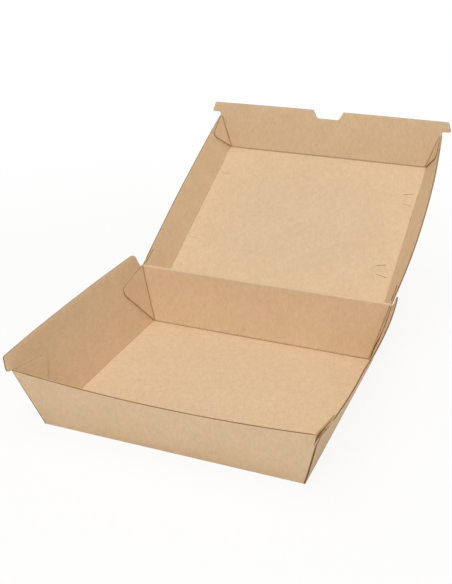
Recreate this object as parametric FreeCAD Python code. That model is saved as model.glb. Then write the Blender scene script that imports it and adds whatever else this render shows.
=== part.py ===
import FreeCAD, Part
import math
import os

# A hinged takeaway box, folded and glued from one sheet of fluted card, with its lid open.
# Millimetres. X runs along the front, Y towards the hinge, and Z up.
# The origin is the middle of the tray's floor panel, on its underside.

# Board, and the gap that the crease at the hinge leaves between tray and lid
board = 1.2
crease_gap = 0.12

# Panels: the tray's floor and the lid's top have the same size
panel_width = 179.0
panel_depth = 161.2

# Tray walls: height of the rim, and how far the outer face of each wall leans out at the rim
tray_height = 44.7
tray_side_lean = 12.0
tray_front_lean = 13.5
tray_back_lean = 5.6

# Tray side walls stand above the rim and end in an ear at the front and a rounded corner at the back
side_wall_rise = 11.2
side_wall_setback = 0.3
ear_reach = 6.2
ear_lift = 0.4
ear_top_setback = 2.2
ear_radius = 3.2
ear_top_radius = 1.8
ear_throat_radius = 1.0
back_rim_setback = 2.4
back_top_setback = 5.6
back_corner_radius = 5.0

# Tray front rim: a long shallow curve cut into the top edge
front_rim_dip = 2.7

# Bulge of each wall at the height of the rim, where the card is held only at its fold and at its two ends
tray_front_bulge = 3.1
tray_right_bulge = 4.7
tray_left_bulge = 2.2

# Lid walls
lid_height = 24.5
lid_side_lean = 10.3
lid_front_lean = 14.2
lid_back_lean = 6.5
lid_front_bulge = 1.6
lid_right_bulge = 4.6
lid_left_bulge = 2.1

# Flange below the lid's front rim, with an ear at each end and a thumb notch in the middle
flange_drop = 11.4
flange_corner_reach = 4.7
flange_ear_reach = 7.5
flange_ear_drop = 3.2
flange_ear_radius = 1.2
flange_throat_radius = 1.6
flange_corner_radius = 0.6
notch_width = 27.0
notch_floor_width = 19.0
notch_depth = 7.0
notch_radius = 3.0

# Glue tabs on the ends of the front and back walls: length along the side wall, and drop below the rim
tray_tab_length = 38.0
tray_tab_drop = 7.0
lid_tab_length = 25.0
lid_tab_drop = 2.5
tab_radius = 4.0

# How far the lid stands open from closed, in degrees
lid_open_angle = 153.1

# A panel is first made this many times as wide as its span, and its outline then cuts it to shape
overrun = 1.2

origin = FreeCAD.Vector(0, 0, 0)
x_axis = FreeCAD.Vector(1, 0, 0)
z_axis = FreeCAD.Vector(0, 0, 1)


def rounded_outline(corners):
    """Flat face in the XY plane through (x, y, radius) corners, each rounded by its radius."""
    points = [FreeCAD.Vector(x, y, 0) for x, y, radius in corners]
    starts = []
    ends = []
    edges = []
    for index, (x, y, radius) in enumerate(corners):
        here = points[index]
        before = (points[index - 1] - here).normalize()
        after = (points[(index + 1) % len(points)] - here).normalize()
        half_angle = before.getAngle(after) / 2
        reach = radius / math.tan(half_angle)
        starts.append(here + before * reach)
        ends.append(here + after * reach)
        if radius > 0:
            bisector = (before + after).normalize()
            middle = here + bisector * (radius / math.sin(half_angle) - radius)
            edges.append(Part.Arc(starts[-1], middle, ends[-1]).toShape())
    for index in range(len(corners)):
        edges.append(Part.makeLine(ends[index], starts[(index + 1) % len(corners)]))
    return Part.Face(Part.Wire(Part.sortEdges(edges)[0]))


def card(outline, rim, half_span, bulge, outer_level=0.0, inner_level=-board):
    """Panel of card cut to outline, which stands on the fold at y = 0 and bulges along +Z, its outer side.

    The panel is straight at its fold. At y = rim it bulges most at x = 0, and not at all at x = +-half_span.
    """
    reach = overrun * half_span

    def section(y):
        middle = bulge * y / rim
        end = middle * (1 - (reach / half_span) ** 2)
        curves = []
        for level, side in ((outer_level, 1), (inner_level, -1)):
            start = FreeCAD.Vector(-side * reach, y, level + end)
            crown = FreeCAD.Vector(0, y, level + 2 * middle - end)
            finish = FreeCAD.Vector(side * reach, y, level + end)
            parabola = Part.BezierCurve()
            parabola.setPoles([start, crown, finish])
            curves.append((parabola.toShape(), start, finish))
        (outer, outer_start, outer_finish), (inner, inner_start, inner_finish) = curves
        right_end = Part.makeLine(outer_finish, inner_start)
        left_end = Part.makeLine(inner_finish, outer_start)
        return Part.Wire([outer, right_end, inner, left_end])

    sheet = Part.makeLoft([section(-board), section(outline.BoundBox.YMax + board)], True, True)
    # The cutter reaches past the sheet on both sides, at its crown and at its drooping ends
    clear = 4 * board + 2 * bulge
    cutter = outline.extrude(FreeCAD.Vector(0, 0, 2 * clear))
    cutter.translate(FreeCAD.Vector(0, 0, -clear))
    return sheet.common(cutter)


def folded_up(panel, fold_distance, lean, height, turn):
    """Stand a flat panel on its fold, leaning out, and turn it about Z to its side of the box."""
    panel = panel.copy()
    panel.rotate(origin, x_axis, 90 + math.degrees(math.atan2(lean, height)))
    panel.translate(FreeCAD.Vector(0, -fold_distance, 0))
    panel.rotate(origin, z_axis, turn)
    return panel


def below(shape, level):
    """The part of shape that lies under the level plane."""
    size = 2 * (panel_width + panel_depth)
    room = Part.makeBox(size, size, size, FreeCAD.Vector(-size / 2, -size / 2, level - size))
    return shape.common(room)


def tab_outline(fold, rim_end, rim, length, drop):
    """Glue tab on a side wall: a three-cornered flap from the corner crease, rounded at its free end."""
    direction = -1 if rim_end > 0 else 1
    return rounded_outline([
        (fold, 0, 0),
        (rim_end, rim, 0),
        (rim_end + direction * length, rim - drop, tab_radius),
    ])


def end_wall_half_widths(height, side_lean):
    """Half widths of a front or back wall at its fold and at the rim, between the side walls' inner faces."""
    side_rim = math.hypot(height, side_lean)
    across = board * side_rim / height
    return panel_width / 2 - across, panel_width / 2 + side_lean - across


def folded_shell(height, side_lean, front_lean, back_lean, front_outline, front_rise, front_bulge,
                 side_outline, side_rise, right_bulge, left_bulge, tab_length, tab_drop):
    """Floor panel, four walls and four glue tabs of a tray or lid, standing on its floor with its front at -Y."""
    rim_level = height - crease_gap / 2
    half_depth = panel_depth / 2
    side_rim = math.hypot(height, side_lean)
    front_rim = math.hypot(height, front_lean)
    back_rim = math.hypot(height, back_lean)
    fold_half, rim_half = end_wall_half_widths(height, side_lean)
    corner = FreeCAD.Vector(-panel_width / 2, -half_depth, 0)
    shell = Part.makeBox(panel_width, panel_depth, board, corner)

    front = card(front_outline, front_rim, rim_half, front_bulge)
    front = below(folded_up(front, half_depth, front_lean, height, 0), rim_level + front_rise)
    back_outline = rounded_outline([
        (-fold_half, 0, 0),
        (fold_half, 0, 0),
        (rim_half, back_rim, 0),
        (-rim_half, back_rim, 0),
    ])
    back = card(back_outline, back_rim, rim_half, 0)
    back = below(folded_up(back, half_depth, back_lean, height, 180), rim_level)
    parts = [front, back]

    half_span = half_depth + min(front_lean, back_lean)
    tabs = [
        tab_outline(-half_depth, -half_depth - front_lean, side_rim, tab_length, tab_drop),
        tab_outline(half_depth, half_depth + back_lean, side_rim, tab_length, tab_drop),
    ]
    for bulge, mirrored in ((right_bulge, False), (left_bulge, True)):
        wall = folded_up(card(side_outline, side_rim, half_span, bulge), panel_width / 2, side_lean, height, 90)
        pieces = [below(wall, rim_level + side_rise)]
        for tab in tabs:
            # The tab runs half a board into the side wall that it is glued to, so that the two are one piece
            flap = card(tab, side_rim, half_span, bulge, -board / 2, -2 * board)
            flap = folded_up(flap, panel_width / 2, side_lean, height, 90)
            pieces.append(below(flap, rim_level))
        for piece in pieces:
            parts.append(piece.mirror(origin, x_axis) if mirrored else piece)
    return shell.fuse(parts).removeSplitter()


def make_tray():
    """Tray: side walls that rise above the rim into ears, and a front rim with a shallow dip."""
    half_depth = panel_depth / 2
    side_rim = math.hypot(tray_height, tray_side_lean)
    top = side_rim + side_wall_rise
    front_rim_y = -half_depth - tray_front_lean + side_wall_setback
    ear_tip = front_rim_y - ear_reach
    back_rim_y = half_depth + tray_back_lean
    side_outline = rounded_outline([
        (-half_depth + side_wall_setback, 0, 0),
        (half_depth, 0, 0),
        (back_rim_y - back_rim_setback, side_rim, 0),
        (back_rim_y - back_top_setback, top, back_corner_radius),
        (ear_tip + ear_top_setback, top, ear_top_radius),
        (ear_tip, side_rim + ear_lift, ear_radius),
        (front_rim_y, side_rim + ear_lift, ear_throat_radius),
    ])

    fold_half, rim_half = end_wall_half_widths(tray_height, tray_side_lean)
    front_rim = math.hypot(tray_height, tray_front_lean)
    left_corner = FreeCAD.Vector(-rim_half, front_rim, 0)
    right_corner = FreeCAD.Vector(rim_half, front_rim, 0)
    dip = Part.Arc(right_corner, FreeCAD.Vector(0, front_rim - front_rim_dip, 0), left_corner).toShape()
    fold_left = FreeCAD.Vector(-fold_half, 0, 0)
    fold_right = FreeCAD.Vector(fold_half, 0, 0)
    front_outline = Part.Face(Part.Wire([
        Part.makeLine(fold_left, fold_right),
        Part.makeLine(fold_right, right_corner),
        dip,
        Part.makeLine(left_corner, fold_left),
    ]))
    return folded_shell(
        tray_height, tray_side_lean, tray_front_lean, tray_back_lean, front_outline, 0, tray_front_bulge,
        side_outline, side_wall_rise, tray_right_bulge, tray_left_bulge, tray_tab_length, tray_tab_drop,
    )


def make_lid():
    """Lid, modelled as a tray and turned over: plain side walls, and a front wall that runs on into the flange."""
    half_depth = panel_depth / 2
    side_rim = math.hypot(lid_height, lid_side_lean)
    side_outline = rounded_outline([
        (-half_depth, 0, 0),
        (half_depth, 0, 0),
        (half_depth + lid_back_lean - side_wall_setback, side_rim, 0),
        (-half_depth - lid_front_lean + side_wall_setback, side_rim, 0),
    ])

    fold_half, rim_half = end_wall_half_widths(lid_height, lid_side_lean)
    front_rim = math.hypot(lid_height, lid_front_lean)
    flange_edge = front_rim + flange_drop
    right_side = [
        (fold_half, 0, 0),
        (rim_half, front_rim, 0),
        (rim_half, front_rim + flange_ear_drop, flange_throat_radius),
        (rim_half + flange_ear_reach, front_rim + flange_ear_drop, flange_ear_radius),
        (rim_half + flange_corner_reach, flange_edge, flange_corner_radius),
        (notch_width / 2, flange_edge, 0),
        (notch_floor_width / 2, flange_edge - notch_depth, notch_radius),
    ]
    left_side = [(-x, y, radius) for x, y, radius in reversed(right_side)]
    front_outline = rounded_outline(right_side + left_side)

    lid = folded_shell(
        lid_height, lid_side_lean, lid_front_lean, lid_back_lean, front_outline, flange_drop, lid_front_bulge,
        side_outline, 0, lid_right_bulge, lid_left_bulge, lid_tab_length, lid_tab_drop,
    )
    lid = lid.mirror(origin, z_axis)
    hinge_y = half_depth + tray_back_lean
    lid.translate(FreeCAD.Vector(0, hinge_y - lid_back_lean - half_depth, tray_height + lid_height))
    lid.rotate(FreeCAD.Vector(0, hinge_y, tray_height), x_axis, -lid_open_angle)
    return lid


os.makedirs("parts", exist_ok=True)
for name, shape in (("tray", make_tray()), ("lid", make_lid())):
    solid = shape.Solids[0]
    print(name, "solids", len(shape.Solids), "valid", shape.isValid(), "volume", round(solid.Volume))
    solid.exportStep("parts/" + name + ".step")
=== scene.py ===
import math
import bmesh
import bpy
from mathutils import Matrix, Vector, noise
from mathutils.bvhtree import BVHTree


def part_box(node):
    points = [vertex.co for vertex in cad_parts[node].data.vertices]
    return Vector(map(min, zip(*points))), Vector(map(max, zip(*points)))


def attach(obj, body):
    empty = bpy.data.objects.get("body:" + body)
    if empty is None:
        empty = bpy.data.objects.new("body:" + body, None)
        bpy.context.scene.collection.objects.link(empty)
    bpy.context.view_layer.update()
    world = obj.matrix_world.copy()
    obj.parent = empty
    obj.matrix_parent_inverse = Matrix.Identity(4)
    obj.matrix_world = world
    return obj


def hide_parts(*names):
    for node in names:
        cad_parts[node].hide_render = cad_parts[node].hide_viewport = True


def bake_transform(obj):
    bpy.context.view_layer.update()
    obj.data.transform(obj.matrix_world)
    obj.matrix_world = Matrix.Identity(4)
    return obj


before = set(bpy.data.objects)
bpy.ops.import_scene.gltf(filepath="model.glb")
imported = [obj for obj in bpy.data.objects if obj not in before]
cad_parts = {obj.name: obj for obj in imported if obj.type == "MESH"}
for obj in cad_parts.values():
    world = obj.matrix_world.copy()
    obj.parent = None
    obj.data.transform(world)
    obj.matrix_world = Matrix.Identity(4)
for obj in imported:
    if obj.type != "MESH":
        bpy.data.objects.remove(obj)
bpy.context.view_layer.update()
print("frame loaded:", sorted(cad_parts))

# sizes of the folded sheet, in metres, as in the part's source
sheet = {
    "board": 0.0012,
    "halfWidth": 0.0895,
    "halfDepth": 0.0806,
    "hingeY": 0.0862,
    "hingeZ": 0.0447,
    "openAngle": 153.1,
}
trayShape = {
    "height": 0.0447,
    "sideLean": 0.0120,
    "frontLean": 0.0135,
    "backLean": 0.0056,
    "frontBulge": 0.0031,
    "rightBulge": 0.0047,
    "leftBulge": 0.0022,
}
lidShape = {
    "height": 0.0245,
    "sideLean": 0.0103,
    "frontLean": 0.0142,
    "backLean": 0.0065,
    "frontBulge": 0.0016,
    "rightBulge": 0.0046,
    "leftBulge": 0.0021,
}


def lidToOwnFrame():
    # from the lid at rest to a frame in which it stands on its panel like the tray
    hinge = Vector((0, sheet["hingeY"], sheet["hingeZ"]))
    turn = Matrix.Rotation(math.radians(sheet["openAngle"]), 4, "X")
    close = Matrix.Translation(hinge) @ turn @ Matrix.Translation(-hinge)
    shift = Vector((0, lidShape["backLean"] + sheet["halfDepth"] - sheet["hingeY"], 0))
    drop = Matrix.Translation(Vector((0, 0, -lidShape["height"] - sheet["hingeZ"])))
    flip = Matrix.Diagonal((1, 1, -1, 1))
    return flip @ drop @ Matrix.Translation(shift) @ close


# the five panels of a tray or lid: each gives (along its fold, up the wall, out of the wall)
def panelPlaces(shape, point):
    x, y, z = point
    places = {"floor": (x, y, -z)}
    walls = (
        ("front", x, -y - sheet["halfDepth"], "frontLean", "frontBulge"),
        ("back", x, y - sheet["halfDepth"], "backLean", None),
        ("right", y, x - sheet["halfWidth"], "sideLean", "rightBulge"),
        ("left", y, -x - sheet["halfWidth"], "sideLean", "leftBulge"),
    )
    for name, along, away, lean, bulge in walls:
        rim = math.hypot(shape["height"], shape[lean])
        upX, upZ = shape[lean] / rim, shape["height"] / rim
        rise = away * upX + z * upZ
        out = away * upZ - z * upX
        if bulge:
            if name in ("right", "left"):
                span = sheet["halfDepth"] + min(shape["frontLean"], shape["backLean"])
            else:
                span = sheet["halfWidth"] + shape["sideLean"]
            out -= shape[bulge] * rise / rim * (1 - (along / span) ** 2)
        places[name] = (along, rise, out)
    return places


# the point of the right side wall at (along, rise, out), which undoes panelPlaces
def rightWallPoint(shape, along, rise, out):
    rim = math.hypot(shape["height"], shape["sideLean"])
    upX, upZ = shape["sideLean"] / rim, shape["height"] / rim
    span = sheet["halfDepth"] + min(shape["frontLean"], shape["backLean"])
    out += shape["rightBulge"] * rise / rim * (1 - (along / span) ** 2)
    return Vector((sheet["halfWidth"] + rise * upX + out * upZ, along, rise * upZ - out * upX))


# the inside of a fold lies this far from the outer fold, for a wall with this lean
def insideOffset(shape, lean):
    bend = math.pi / 2 - math.atan2(shape[lean], shape["height"])
    return sheet["board"] * math.tan(bend / 2)


# the folds of the side walls show less than the others, so their lines are shifted away by a little
foldReach = {
    "far": 1.0,
    "faintShift": 0.0005,
    "rimMargin": 0.0001,
}


# how far a point of the inner side is from its panel's folds, and from the creases at the wall's ends
def foldDistances(shape, name, place, isTab):
    along, rise, out = place
    far = foldReach["far"]
    faint = foldReach["faintShift"]
    sideOffset = insideOffset(shape, "sideLean")
    if name == "floor":
        endOffset = insideOffset(shape, "backLean" if rise > 0 else "frontLean")
        toSide = faint + sheet["halfWidth"] - sideOffset - abs(along)
        return toSide, sheet["halfDepth"] - endOffset - abs(rise)
    if name in ("right", "left"):
        if not isTab:
            return faint + rise - sideOffset, far
        rim = math.hypot(shape["height"], shape["sideLean"])
        lean = shape["backLean"] if along > 0 else shape["frontLean"]
        return far, sheet["halfDepth"] - sheet["board"] + lean * rise / rim - abs(along)
    rim = math.hypot(shape["height"], shape[name + "Lean"])
    if rise > rim + foldReach["rimMargin"]:
        return far, far
    sideRim = math.hypot(shape["height"], shape["sideLean"])
    thick = 2 * sheet["board"] * sideRim / shape["height"]
    crease = sheet["halfWidth"] - thick + shape["sideLean"] * rise / rim - abs(along)
    return rise - insideOffset(shape, name + "Lean"), crease


# the panel that a face belongs to: by its normal, or for a cut edge by the nearest sheet
def panelOfFace(shape, centre, normal, isEdge):
    places = panelPlaces(shape, centre)
    if not isEdge:
        size = [abs(v) for v in normal]
        if size[2] == max(size):
            return "floor"
        if size[0] > size[1]:
            return "right" if centre.x > 0 else "left"
        return "back" if centre.y > 0 else "front"
    best, bestMiss = "floor", math.inf
    for name, (along, rise, out) in places.items():
        miss = abs(out + sheet["board"] / 2) + max(0, -rise if name != "floor" else 0)
        if name == "floor":
            miss += max(0, abs(centre.x) - sheet["halfWidth"]) + max(0, abs(centre.y) - sheet["halfDepth"])
        if miss < bestMiss:
            best, bestMiss = name, miss
    return best


# where a point of a panel lies on the flat blank, before folding
def blankPlace(name, place):
    along, rise, out = place
    if name == "floor":
        return along, rise
    if name == "right":
        return sheet["halfWidth"] + rise, along
    if name == "left":
        return -sheet["halfWidth"] - rise, along
    if name == "front":
        return along, -sheet["halfDepth"] - rise
    return along, sheet["halfDepth"] + rise


# lengths in metres, angles in degrees, and depths into the wall as shares of the board
cardLook = {
    "gridStep": 0.004,
    "gridMerge": 0.0000005,
    "copyMerge": 0.000002,
    "cutMerge": 0.000001,
    "flatAngle": 0.4,
    "sharpAngle": 40,
    "smoothAngle": 35,
    "edgeRounding": 0.00014,
    "edgeRoundingSteps": 2,
    "cutEdgeDepth": 0.003,
    "probeDepth": 0.00001,
    "insideDepth": 0.5,
    "tabDepth": 1.5,
    "tabEdgeDepth": 1.1,
    "tabBlankShift": (0.3, 0.5),
    "warpSize": 0.00035,
    "warpScale": 16.0,
    "warpShift": (3.1, 7.7, 1.3),
    "warpSeed": 5,
    "hingeFade": 0.02,
    "foldFade": 0.02,
    "panelFade": 0.03,
    "panelTop": 0.004,
}


# takes the cutter's shape out of a mesh, and returns a new mesh
def cutAway(mesh, cutterMesh):
    body = bpy.data.objects.new("card_being_cut", mesh)
    cutter = bpy.data.objects.new("cutter", cutterMesh)
    for thing in (body, cutter):
        bpy.context.scene.collection.objects.link(thing)
    cut = body.modifiers.new("cut", "BOOLEAN")
    cut.operation = "DIFFERENCE"
    cut.solver = "EXACT"
    cut.object = cutter
    result = bpy.data.meshes.new_from_object(body.evaluated_get(bpy.context.evaluated_depsgraph_get()))
    bpy.data.objects.remove(body)
    bpy.data.objects.remove(cutter)
    return result


# at the front right corner the side wall has come away from the glue tab: a thin slot parts the two
cornerGap = {
    "along": (-0.106, -0.062),
    "rise": (0.036, 0.052),
    "out": (-0.00150, -0.00127),
    "steps": 12,
    "flare": 0.0050,
    "flareStart": -0.030,
    "flareFull": -0.100,
    "riseStartBack": 0.012,
    "riseStartFront": 0.036,
    "riseStartReach": 0.8,
    "riseTop": 0.0575,
    "flareUpwardPower": 1.5,
}


def cornerGapCutter():
    bm = bmesh.new()
    bmesh.ops.create_cube(bm, size=1.0)
    lengthways = [e for e in bm.edges if abs(e.verts[0].co.y - e.verts[1].co.y) > 0.5]
    bmesh.ops.subdivide_edges(bm, edges=lengthways, cuts=cornerGap["steps"], use_grid_fill=True)
    for vert in bm.verts:
        place = []
        for key, share in (("along", vert.co.y), ("rise", vert.co.z), ("out", vert.co.x)):
            low, high = cornerGap[key]
            place.append(low + (share + 0.5) * (high - low))
        vert.co = rightWallPoint(trayShape, *place)
    bmesh.ops.recalc_face_normals(bm, faces=bm.faces[:])
    mesh = bpy.data.meshes.new("corner_gap")
    bm.to_mesh(mesh)
    bm.free()
    return mesh


# how far the side wall leans further out towards its front ear, where it leaves the tab
def cornerFlare(place):
    along, rise, out = place
    if out < (cornerGap["out"][0] + cornerGap["out"][1]) / 2:
        return 0.0
    span = cornerGap["flareStart"] - cornerGap["flareFull"]
    forward = max(0.0, (cornerGap["flareStart"] - along) / span)
    start = cornerGap["riseStartBack"]
    start += (cornerGap["riseStartFront"] - start) * min(1.0, forward / cornerGap["riseStartReach"])
    upward = max(0.0, min(1.0, (rise - start) / (cornerGap["riseTop"] - start)))
    return cornerGap["flare"] * forward * upward ** cornerGap["flareUpwardPower"]


def flareRightWall(bm):
    wallOut = rightWallPoint(trayShape, 0, 0, 1) - rightWallPoint(trayShape, 0, 0, 0)
    for vert in bm.verts:
        if vert.co.x > 0:
            vert.co += wallOut * cornerFlare(panelPlaces(trayShape, vert.co)["right"])


# short slits, half cut through the lid's panel from inside: both ends (x, y) in the lid's own frame
# and the width
slits = {
    "depth": 0.0007,
    "lines": (
        ((0.0770, -0.0455), (0.0845, -0.0475), 0.00040),
        ((0.0790, -0.0350), (0.0860, -0.0335), 0.00022),
        ((0.0740, 0.0336), (0.0812, 0.0315), 0.00045),
        ((0.0755, 0.0418), (0.0845, 0.0443), 0.00040),
        ((-0.0860, -0.0472), (-0.0720, -0.0452), 0.00016),
        ((-0.0870, 0.0311), (-0.0750, 0.0327), 0.00020),
    ),
    "wallMark": {"along": 0.0291, "rise": 0.0026, "length": 0.0026, "width": 0.0004},
}


def slitCutter():
    bm = bmesh.new()
    for start, end, width in slits["lines"]:
        start, end = Vector(start), Vector(end)
        run = end - start
        middle = (start + end) / 2
        made = bmesh.ops.create_cube(bm, size=1.0)["verts"]
        bmesh.ops.scale(bm, verts=made, vec=(run.length, width, 2 * slits["depth"]))
        turn = Matrix.Rotation(math.atan2(run.y, run.x), 3, "Z")
        bmesh.ops.rotate(bm, verts=made, cent=(0, 0, 0), matrix=turn)
        bmesh.ops.translate(bm, verts=made, vec=(middle.x, middle.y, sheet["board"]))

    # one slit ends on the right side wall, just past the fold
    mark = slits["wallMark"]
    made = bmesh.ops.create_cube(bm, size=1.0)["verts"]
    for vert in made:
        rise = mark["rise"] + vert.co.z * mark["length"]
        out = -sheet["board"] + vert.co.x * 2 * slits["depth"]
        vert.co = rightWallPoint(lidShape, mark["along"] + vert.co.y * mark["width"], rise, out)
    mesh = bpy.data.meshes.new("slits")
    bm.to_mesh(mesh)
    bm.free()
    return mesh


# a copy of a CAD node in its own frame, with its sharp edges slightly rounded
def plainCopy(nodeName, toOwn):
    bm = bmesh.new()
    bm.from_mesh(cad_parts[nodeName].data)
    bmesh.ops.remove_doubles(bm, verts=bm.verts[:], dist=cardLook["copyMerge"])
    bm.transform(toOwn)
    if toOwn.determinant() < 0:
        bmesh.ops.reverse_faces(bm, faces=bm.faces[:])
    bm.normal_update()
    flat = math.radians(cardLook["flatAngle"])
    bmesh.ops.dissolve_limit(bm, angle_limit=flat, verts=bm.verts[:], edges=bm.edges[:])
    limit = math.radians(cardLook["sharpAngle"])
    sharp = [e for e in bm.edges if len(e.link_faces) == 2 and e.calc_face_angle() > limit]
    bmesh.ops.bevel(
        bm, geom=sharp, affect="EDGES", offset=cardLook["edgeRounding"], offset_type="OFFSET",
        segments=cardLook["edgeRoundingSteps"], profile=0.5, material=-1, clamp_overlap=True,
    )
    mesh = bpy.data.meshes.new(nodeName + "_copy")
    bm.to_mesh(mesh)
    bm.free()
    return mesh


# the cut edges, which have much card behind them, get the second material
def markCutEdges(bm):
    tree = BVHTree.FromBMesh(bm)
    for face in bm.faces:
        start = face.calc_center_median() - face.normal * cardLook["probeDepth"]
        behind = tree.ray_cast(start, -face.normal)[3]
        face.material_index = 1 if behind is None or behind > cardLook["cutEdgeDepth"] else 0


# a regular grid of cuts, so that the card can bend, with cuts at the middle and at the rim
def addGrid(bm, shape):
    planes = [(0, 0.0), (1, 0.0), (2, shape["height"])]
    for axis in range(3):
        low = min(v.co[axis] for v in bm.verts)
        high = max(v.co[axis] for v in bm.verts)
        count = int((high - low) / cardLook["gridStep"])
        for index in range(1, count + 1):
            planes.append((axis, low + index * (high - low) / (count + 1)))
    for axis, level in planes:
        at = Vector((0, 0, 0))
        at[axis] = level
        normal = Vector((0, 0, 0))
        normal[axis] = 1
        bmesh.ops.bisect_plane(
            bm, geom=bm.verts[:] + bm.edges[:] + bm.faces[:], dist=cardLook["gridMerge"],
            plane_co=at, plane_no=normal,
        )


# UV maps: the flat blank, the distances from folds, and for a cut edge the share across the board
def addBlankMaps(bm, shape):
    blank = bm.loops.layers.uv.new("blank")
    folds = bm.loops.layers.uv.new("folds")
    across = bm.loops.layers.uv.new("across")
    shiftU, shiftV = cardLook["tabBlankShift"]
    awayFromFolds = (foldReach["far"], foldReach["far"])
    bm.normal_update()
    for face in bm.faces:
        isEdge = face.material_index == 1
        name = panelOfFace(shape, face.calc_center_median(), face.normal, isEdge)
        places = [panelPlaces(shape, loop.vert.co)[name] for loop in face.loops]
        depth = -sum(place[2] for place in places) / len(places) / sheet["board"]
        isTab = name in ("left", "right") and depth > cardLook["tabEdgeDepth" if isEdge else "tabDepth"]
        isInside = depth > cardLook["insideDepth"]
        for loop, place in zip(face.loops, places):
            u, v = blankPlace(name, place)
            # a tab's flutes run along the wall that it is glued to
            loop[blank].uv = (v + shiftU, place[1] + shiftV) if isTab else (u, v)
            loop[folds].uv = foldDistances(shape, name, place, isTab) if isInside else awayFromFolds
            loop[across].uv = (-place[2] / sheet["board"] - (1 if isTab else 0), 0.5)


# gentle warps, which fade out towards the folds of the floor panel and towards the hinge
def warpCard(bm, shape):
    noise.seed_set(cardLook["warpSeed"])
    shift = Vector(cardLook["warpShift"])
    for vert in bm.verts:
        x, y, z = vert.co
        rise = max(0.0, min(1.0, z / cardLook["foldFade"]))
        fromHinge = math.hypot(y - sheet["halfDepth"] - shape["backLean"], z - shape["height"])
        rise *= min(1.0, fromHinge / cardLook["hingeFade"])
        toFold = min(sheet["halfWidth"] - abs(x), sheet["halfDepth"] - abs(y))
        inside = max(0.0, min(1.0, toFold / cardLook["panelFade"]))
        wave = noise.noise_vector(vert.co * cardLook["warpScale"] + shift)
        vert.co.x += wave.x * cardLook["warpSize"] * rise
        vert.co.y += wave.y * cardLook["warpSize"] * rise
        if z < cardLook["panelTop"]:
            vert.co.z += abs(wave.z) * cardLook["warpSize"] * inside


# the tray or lid: its node's solid with the cutter's shape out of it, the maps, and the bends
def cardPiece(nodeName, pieceName, shape, toOwn, cutter):
    mesh = cutAway(plainCopy(nodeName, toOwn), cutter)
    bm = bmesh.new()
    bm.from_mesh(mesh)
    bmesh.ops.remove_doubles(bm, verts=bm.verts[:], dist=cardLook["cutMerge"])
    bm.normal_update()
    markCutEdges(bm)
    addGrid(bm, shape)
    addBlankMaps(bm, shape)
    if nodeName == "tray":
        flareRightWall(bm)
    warpCard(bm, shape)

    bm.transform(toOwn.inverted())
    if toOwn.determinant() < 0:
        bmesh.ops.reverse_faces(bm, faces=bm.faces[:])
    # nothing bends past the box of the solid
    lowest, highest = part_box(nodeName)
    for vert in bm.verts:
        for axis in range(3):
            vert.co[axis] = min(max(vert.co[axis], lowest[axis]), highest[axis])
    limit = math.radians(cardLook["smoothAngle"])
    for edge in bm.edges:
        edge.smooth = len(edge.link_faces) == 2 and edge.calc_face_angle() < limit
    for face in bm.faces:
        face.smooth = True
    mesh = bpy.data.meshes.new(pieceName)
    bm.to_mesh(mesh)
    bm.free()
    piece = bpy.data.objects.new(pieceName, mesh)
    bpy.context.scene.collection.objects.link(piece)
    print(pieceName, "faces", len(mesh.polygons))
    return piece


# each noise is (scale, detail, stretch); the shares say how much each adds to the tone
linerLook = {
    "colour": (0.680, 0.503, 0.324, 1),
    "palerColour": (0.838, 0.650, 0.446, 1),
    "darkFleck": (0.42, 0.26, 0.14, 1),
    "clouds": (38, 3, (1, 1, 1)),
    "mottle": (210, 5, (1, 0.7, 1)),
    "fibres": (900, 4, (1, 0.3, 1)),
    "specks": (1500, 2, (1, 0.35, 1)),
    "cloudShare": 0.22,
    "mottleShare": 0.30,
    "fibreShare": 0.48,
    "speckShare": 0.30,
    "toneRange": (0.3, 0.7),
    "speckRange": (0.66, 0.80),
    # painted shade: the darker colour of the inner folds and corner creases, partly the score's own darker
    # mark
    "foldShadeColour": (0.34, 0.195, 0.095, 1),
    "foldWidth": 0.0009,
    "foldRagged": 0.6,
    "foldFade": (1.4, 0.7),
    "foldDepth": 0.1,
    "foldShadeStrength": 0.64,
    "flutePitch": 0.0026,
    "fluteBump": 0.000008,
    "fluteRange": (0.2, 0.8),
    "fibreBump": 0.000040,
    "roughness": 0.78,
    "roughnessSpread": 0.18,
    "specular": 0.25,
}
cutEdgeLook = {
    "linerColour": (0.60, 0.42, 0.255, 1),
    # painted shade: the flute hollows, dark where no light reaches into them
    "hollowShadeColour": (0.15, 0.08, 0.038, 1),
    "mediumColour": (0.36, 0.22, 0.12, 1),
    "linerShare": 0.28,
    "linerPlace": 0.56,
    "linerFade": (0.04, 0.06),
    "linerRagged": 0.12,
    "fibres": (900, 3, (1, 1, 1)),
    "waveSize": 0.26,
    "mediumShare": 0.13,
    "mediumFade": 0.4,
    "bumpDistance": 0.0001,
    "roughness": 0.9,
    "roughnessSpread": 0.1,
    "specular": 0.15,
}


def newMaterial(name):
    material = bpy.data.materials.new(name)
    material.use_nodes = True
    nodes = material.node_tree.nodes
    links = material.node_tree.links
    shader = nodes["Principled BSDF"]
    return material, nodes, links, shader


def mathNode(nodes, links, operation, first, second=None, third=None):
    node = nodes.new("ShaderNodeMath")
    node.operation = operation
    for index, value in enumerate((first, second, third)):
        if value is None:
            continue
        if isinstance(value, (int, float)):
            node.inputs[index].default_value = value
        else:
            links.new(value, node.inputs[index])
    return node.outputs[0]


def noiseNode(nodes, links, coordinate, scale, detail, stretch):
    mapping = nodes.new("ShaderNodeMapping")
    mapping.inputs["Scale"].default_value = stretch
    links.new(coordinate, mapping.inputs["Vector"])
    texture = nodes.new("ShaderNodeTexNoise")
    texture.inputs["Scale"].default_value = scale
    texture.inputs["Detail"].default_value = detail
    links.new(mapping.outputs[0], texture.inputs["Vector"])
    return texture.outputs["Fac"]


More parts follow.
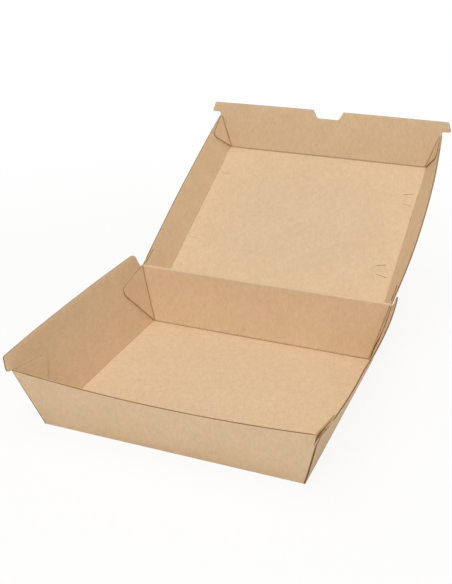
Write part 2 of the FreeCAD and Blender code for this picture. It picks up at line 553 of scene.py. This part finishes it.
def mixColours(nodes, links, factor, first, second):
    mix = nodes.new("ShaderNodeMix")
    mix.data_type = "RGBA"
    links.new(factor, mix.inputs["Factor"])
    for socket, value in (("A", first), ("B", second)):
        target = [s for s in mix.inputs if s.name == socket and s.type == "RGBA"][0]
        if isinstance(value, tuple):
            target.default_value = value
        else:
            links.new(value, target)
    return [s for s in mix.outputs if s.type == "RGBA"][0]


def rangeNode(nodes, links, value, low, high):
    node = nodes.new("ShaderNodeMapRange")
    node.inputs["From Min"].default_value = low
    node.inputs["From Max"].default_value = high
    links.new(value, node.inputs["Value"])
    return node.outputs[0]


# the ridges that the flutes raise under the liner, across the blank
def fluteRipple(nodes, links, coordinate, pitch):
    split = nodes.new("ShaderNodeSeparateXYZ")
    links.new(coordinate, split.inputs[0])
    turns = mathNode(nodes, links, "MULTIPLY", split.outputs["Y"], 2 * math.pi / pitch)
    return mathNode(nodes, links, "SINE", turns)


def uvNode(nodes, name):
    node = nodes.new("ShaderNodeUVMap")
    node.uv_map = name
    return node.outputs[0]


# unbleached card: a mottled and fibrous tone with dark flecks, and the ripple of the flutes
def kraftLinerMaterial():
    look = linerLook
    material, nodes, links, shader = newMaterial("kraft_liner")
    at = uvNode(nodes, "blank")
    clouds = noiseNode(nodes, links, at, *look["clouds"])
    mottle = noiseNode(nodes, links, at, *look["mottle"])
    fibres = noiseNode(nodes, links, at, *look["fibres"])
    specks = noiseNode(nodes, links, at, *look["specks"])
    cloudTone, mottleTone, fibreTone = (
        rangeNode(nodes, links, value, *look["toneRange"]) for value in (clouds, mottle, fibres)
    )
    tone = mathNode(nodes, links, "MULTIPLY", cloudTone, look["cloudShare"])
    tone = mathNode(nodes, links, "MULTIPLY_ADD", mottleTone, look["mottleShare"], tone)
    tone = mathNode(nodes, links, "MULTIPLY_ADD", fibreTone, look["fibreShare"], tone)
    base = mixColours(nodes, links, tone, look["colour"], look["palerColour"])
    fleck = rangeNode(nodes, links, specks, *look["speckRange"])
    fleck = mathNode(nodes, links, "MULTIPLY", fleck, look["speckShare"])
    colour = mixColours(nodes, links, fleck, base, look["darkFleck"])

    # thin darker lines along the folds and the corner creases, a little ragged: painted shade of the inner
    # folds, partly the score's own darker mark
    distance = nodes.new("ShaderNodeSeparateXYZ")
    links.new(uvNode(nodes, "folds"), distance.inputs[0])
    nearest = mathNode(nodes, links, "MINIMUM", distance.outputs["X"], distance.outputs["Y"])
    ragged = mathNode(nodes, links, "MULTIPLY_ADD", fibres, look["foldWidth"] * look["foldRagged"], nearest)
    outer, inner = (look["foldWidth"] * share for share in look["foldFade"])
    line = rangeNode(nodes, links, ragged, outer, inner)
    line = mathNode(nodes, links, "MULTIPLY", line, look["foldShadeStrength"])
    colour = mixColours(nodes, links, line, colour, look["foldShadeColour"])
    links.new(colour, shader.inputs["Base Color"])

    smoothest = look["roughness"] - look["roughnessSpread"] / 2
    rough = mathNode(nodes, links, "MULTIPLY_ADD", fibres, look["roughnessSpread"], smoothest)
    links.new(rough, shader.inputs["Roughness"])
    shader.inputs["Specular IOR Level"].default_value = look["specular"]

    # the flutes show more in some places than in others
    ripple = fluteRipple(nodes, links, at, look["flutePitch"])
    ripple = mathNode(nodes, links, "MULTIPLY", ripple, look["fluteBump"])
    ripple = mathNode(nodes, links, "MULTIPLY", ripple, rangeNode(nodes, links, clouds, *look["fluteRange"]))
    height = mathNode(nodes, links, "MULTIPLY_ADD", fibres, look["fibreBump"], ripple)
    height = mathNode(nodes, links, "MULTIPLY_ADD", line, -look["foldWidth"] * look["foldDepth"], height)
    bump = nodes.new("ShaderNodeBump")
    bump.inputs["Distance"].default_value = 1.0
    links.new(height, bump.inputs["Height"])
    links.new(bump.outputs[0], shader.inputs["Normal"])
    return material


# the two liners, and between them the waved medium and its hollows, which are painted dark as the shade
# inside them
def cutEdgeMaterial():
    look = cutEdgeLook
    material, nodes, links, shader = newMaterial("cut_board_edge")
    at = uvNode(nodes, "blank")
    split = nodes.new("ShaderNodeSeparateXYZ")
    links.new(uvNode(nodes, "across"), split.inputs[0])
    fromMiddle = mathNode(nodes, links, "SUBTRACT", split.outputs["X"], 0.5)
    ripple = fluteRipple(nodes, links, at, linerLook["flutePitch"])
    fibres = noiseNode(nodes, links, at, *look["fibres"])
    wave = mathNode(nodes, links, "MULTIPLY_ADD", ripple, -look["waveSize"], fromMiddle)
    offWave = mathNode(nodes, links, "ABSOLUTE", wave)
    medium = rangeNode(nodes, links, offWave, look["mediumShare"], look["mediumShare"] * look["mediumFade"])
    core = mixColours(nodes, links, medium, look["hollowShadeColour"], look["mediumColour"])
    offMiddle = mathNode(nodes, links, "ABSOLUTE", fromMiddle)
    offMiddle = mathNode(nodes, links, "MULTIPLY_ADD", fibres, look["linerRagged"], offMiddle)
    edge = look["linerPlace"] - look["linerShare"]
    fadeIn, fadeOut = look["linerFade"]
    liner = rangeNode(nodes, links, offMiddle, edge - fadeIn, edge + fadeOut)
    colour = mixColours(nodes, links, liner, core, look["linerColour"])
    links.new(colour, shader.inputs["Base Color"])
    smoothest = look["roughness"] - look["roughnessSpread"] / 2
    rough = mathNode(nodes, links, "MULTIPLY_ADD", fibres, look["roughnessSpread"], smoothest)
    links.new(rough, shader.inputs["Roughness"])
    shader.inputs["Specular IOR Level"].default_value = look["specular"]
    bump = nodes.new("ShaderNodeBump")
    bump.inputs["Distance"].default_value = look["bumpDistance"]
    links.new(liner, bump.inputs["Height"])
    links.new(bump.outputs[0], shader.inputs["Normal"])
    return material


kraftLiner = kraftLinerMaterial()
cutBoardEdge = cutEdgeMaterial()

tray = cardPiece("tray", "tray_card", trayShape, Matrix.Identity(4), cornerGapCutter())
lid = cardPiece("lid", "lid_card", lidShape, lidToOwnFrame(), slitCutter())
for piece, body in ((tray, "tray"), (lid, "lid")):
    piece.data.materials.append(kraftLiner)
    piece.data.materials.append(cutBoardEdge)
    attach(piece, body)
    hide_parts(body)

creaseLook = {
    "halfLength": 0.1000,
    "beadWidth": 0.0024,
    "beadRise": 0.0004,
    "thickness": 0.0002,
    "acrossSteps": 10,
    "lengthSteps": 50,
    "roundness": 0.6,
    "sink": 0.00002,
    "sameX": 0.000001,
    "blankShift": 0.05,
}


# the liner that runs over the hinge from tray to lid, as a low rounded bead
def hingeCrease():
    opened = math.radians(sheet["openAngle"])
    top = Vector((0, sheet["hingeY"], sheet["hingeZ"]))
    towardTray = Vector((0, -1, 0))
    towardLid = Vector((0, -math.cos(opened), math.sin(opened)))
    up = (Vector((0, 0, 1)) + Vector((0, -math.sin(opened), -math.cos(opened)))).normalized()
    bm = bmesh.new()
    row = []
    for index in range(creaseLook["acrossSteps"] + 1):
        share = index / creaseLook["acrossSteps"]
        side = towardTray if share < 0.5 else towardLid
        reach = abs(share - 0.5) * creaseLook["beadWidth"]
        arch = math.sin(math.pi * share) ** creaseLook["roundness"]
        rise = creaseLook["beadRise"] * arch - creaseLook["sink"]
        at = top + side * reach + up * rise
        at.x = -creaseLook["halfLength"]
        row.append(bm.verts.new(at))
    edges = [bm.edges.new((a, b)) for a, b in zip(row, row[1:])]
    stride = 2 * creaseLook["halfLength"] / creaseLook["lengthSteps"]
    for step in range(creaseLook["lengthSteps"]):
        made = bmesh.ops.extrude_edge_only(bm, edges=edges)["geom"]
        moved = [g for g in made if isinstance(g, bmesh.types.BMVert)]
        bmesh.ops.translate(bm, verts=moved, vec=(stride, 0, 0))
        edges = [g for g in made if isinstance(g, bmesh.types.BMEdge)]
        edges = [e for e in edges if abs(e.verts[0].co.x - e.verts[1].co.x) < creaseLook["sameX"]]
    blank = bm.loops.layers.uv.new("blank")
    folds = bm.loops.layers.uv.new("folds")
    blankY = sheet["halfDepth"] + creaseLook["blankShift"]
    for face in bm.faces:
        face.smooth = True
        for loop in face.loops:
            loop[blank].uv = (loop.vert.co.x, blankY + loop.vert.co.y - top.y)
            loop[folds].uv = (foldReach["far"], foldReach["far"])
    bmesh.ops.recalc_face_normals(bm, faces=bm.faces[:])
    bm.normal_update()
    if sum(f.normal.dot(up) for f in bm.faces) < 0:
        bmesh.ops.reverse_faces(bm, faces=bm.faces[:])
    bmesh.ops.solidify(bm, geom=bm.faces[:], thickness=creaseLook["thickness"])
    mesh = bpy.data.meshes.new("hinge_crease")
    bm.to_mesh(mesh)
    bm.free()
    crease = bpy.data.objects.new("hinge_crease", mesh)
    bpy.context.scene.collection.objects.link(crease)
    crease.data.materials.append(kraftLiner)
    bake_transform(crease)


hingeCrease()
print("hinge crease made")

stageLook = {
    "floorSize": 12.0,
    "floorDrop": 0.0002,
    "floorRoughness": 0.9,
    "floorColour": (0.92, 0.92, 0.92, 1),
    "shadowShare": 0.10,
    "shadowReach": (0.25, 0.6),
    "worldStrength": 0.26,
    "fillColour": (1.0, 0.82, 0.60, 1),
    "lampTarget": (0, 0.07, 0.05),
}


# 1 for what the camera sees, itself or by a reflection, and 0 for light that falls on the box
def seenShare(nodes, links):
    path = nodes.new("ShaderNodeLightPath")
    seen = mathNode(nodes, links, "ADD", path.outputs["Is Camera Ray"], path.outputs["Is Glossy Ray"])
    return mathNode(nodes, links, "ADD", seen, path.outputs["Is Transmission Ray"])


def whiteFloor():
    bm = bmesh.new()
    bmesh.ops.create_grid(bm, x_segments=1, y_segments=1, size=stageLook["floorSize"] / 2)
    bmesh.ops.translate(bm, verts=bm.verts[:], vec=(0, 0, -stageLook["floorDrop"]))
    mesh = bpy.data.meshes.new("studio_floor")
    bm.to_mesh(mesh)
    bm.free()
    floor = bpy.data.objects.new("studio_floor", mesh)
    bpy.context.scene.collection.objects.link(floor)
    material, nodes, links, shader = newMaterial("studio_white")
    shader.inputs["Base Color"].default_value = stageLook["floorColour"]
    shader.inputs["Roughness"].default_value = stageLook["floorRoughness"]
    glow = nodes.new("ShaderNodeEmission")
    glow.inputs["Strength"].default_value = 1.0

    # the camera sees the floor as white, with a faint shadow that ends a little way from the box
    place = nodes.new("ShaderNodeTexCoord")
    length = nodes.new("ShaderNodeVectorMath")
    length.operation = "LENGTH"
    links.new(place.outputs["Object"], length.inputs[0])
    nearEnd, farEnd = stageLook["shadowReach"]
    near = rangeNode(nodes, links, length.outputs["Value"], farEnd, nearEnd)
    white = mathNode(nodes, links, "MULTIPLY_ADD", near, -stageLook["shadowShare"], 1.0)
    share = mathNode(nodes, links, "MULTIPLY", seenShare(nodes, links), white)
    mix = nodes.new("ShaderNodeMixShader")
    links.new(share, mix.inputs[0])
    links.new(shader.outputs[0], mix.inputs[1])
    links.new(glow.outputs[0], mix.inputs[2])
    links.new(mix.outputs[0], nodes["Material Output"].inputs["Surface"])
    mesh.materials.append(material)


# white to the camera, and a weak warm fill to the box
def whiteWorld():
    world = bpy.data.worlds.new("studio_world")
    world.use_nodes = True
    bpy.context.scene.world = world
    nodes = world.node_tree.nodes
    links = world.node_tree.links
    background = nodes["Background"]
    seen = seenShare(nodes, links)
    colour = mixColours(nodes, links, seen, stageLook["fillColour"], (1, 1, 1, 1))
    links.new(colour, background.inputs["Color"])
    extra = mathNode(nodes, links, "MULTIPLY", seen, 1 - stageLook["worldStrength"])
    strength = mathNode(nodes, links, "ADD", extra, stageLook["worldStrength"])
    links.new(strength, background.inputs["Strength"])


lamps = {
    "top_softbox": {"at": (0.0, 0.05, 1.6), "size": 1.2, "power": 9.8},
    "front_softbox": {"at": (0.05, -0.74, 0.72), "size": 0.7, "power": 3.45},
    "front_right_softbox": {"at": (0.8, -1.0, 1.2), "size": 1.0, "power": 3.8},
    "left_fill": {"at": (-1.0, -0.3, 1.2), "size": 1.0, "power": 0.6},
    "back_fill": {"at": (0.0, 1.2, 1.2), "size": 1.0, "power": 0.9},
}


# square lamps, all turned to the middle of the box
def softLamps():
    middle = Vector(stageLook["lampTarget"])
    for name, values in lamps.items():
        light = bpy.data.lights.new(name, "AREA")
        light.energy = values["power"]
        light.size = values["size"]
        lamp = bpy.data.objects.new(name, light)
        bpy.context.scene.collection.objects.link(lamp)
        lamp.location = values["at"]
        away = Vector(values["at"]) - middle
        lamp.rotation_euler = away.to_track_quat("Z", "Y").to_euler()


cameraView = {
    "place": (0.21987, -0.52016, 0.33619),
    "right": (0.926412, 0.376456, -0.00648),
    "down": (0.152449, -0.390784, -0.907771),
    "forward": (-0.344268, 0.839981, -0.419417),
    "lens": 57.905,
    "sensor": 36.0,
    "nearest": 0.01,
}


def photoCamera():
    data = bpy.data.cameras.new("photo_camera")
    data.lens = cameraView["lens"]
    data.sensor_width = cameraView["sensor"]
    data.clip_start = cameraView["nearest"]
    camera = bpy.data.objects.new("photo_camera", data)
    bpy.context.scene.collection.objects.link(camera)
    right, down, forward = (Vector(cameraView[k]) for k in ("right", "down", "forward"))
    turn = Matrix((right, -down, -forward)).transposed()
    camera.matrix_world = Matrix.Translation(Vector(cameraView["place"])) @ turn.to_4x4()
    bpy.context.scene.camera = camera


whiteFloor()
whiteWorld()
softLamps()
photoCamera()
bpy.context.scene.view_settings.view_transform = "Standard"
print("stage, lamps and camera set")
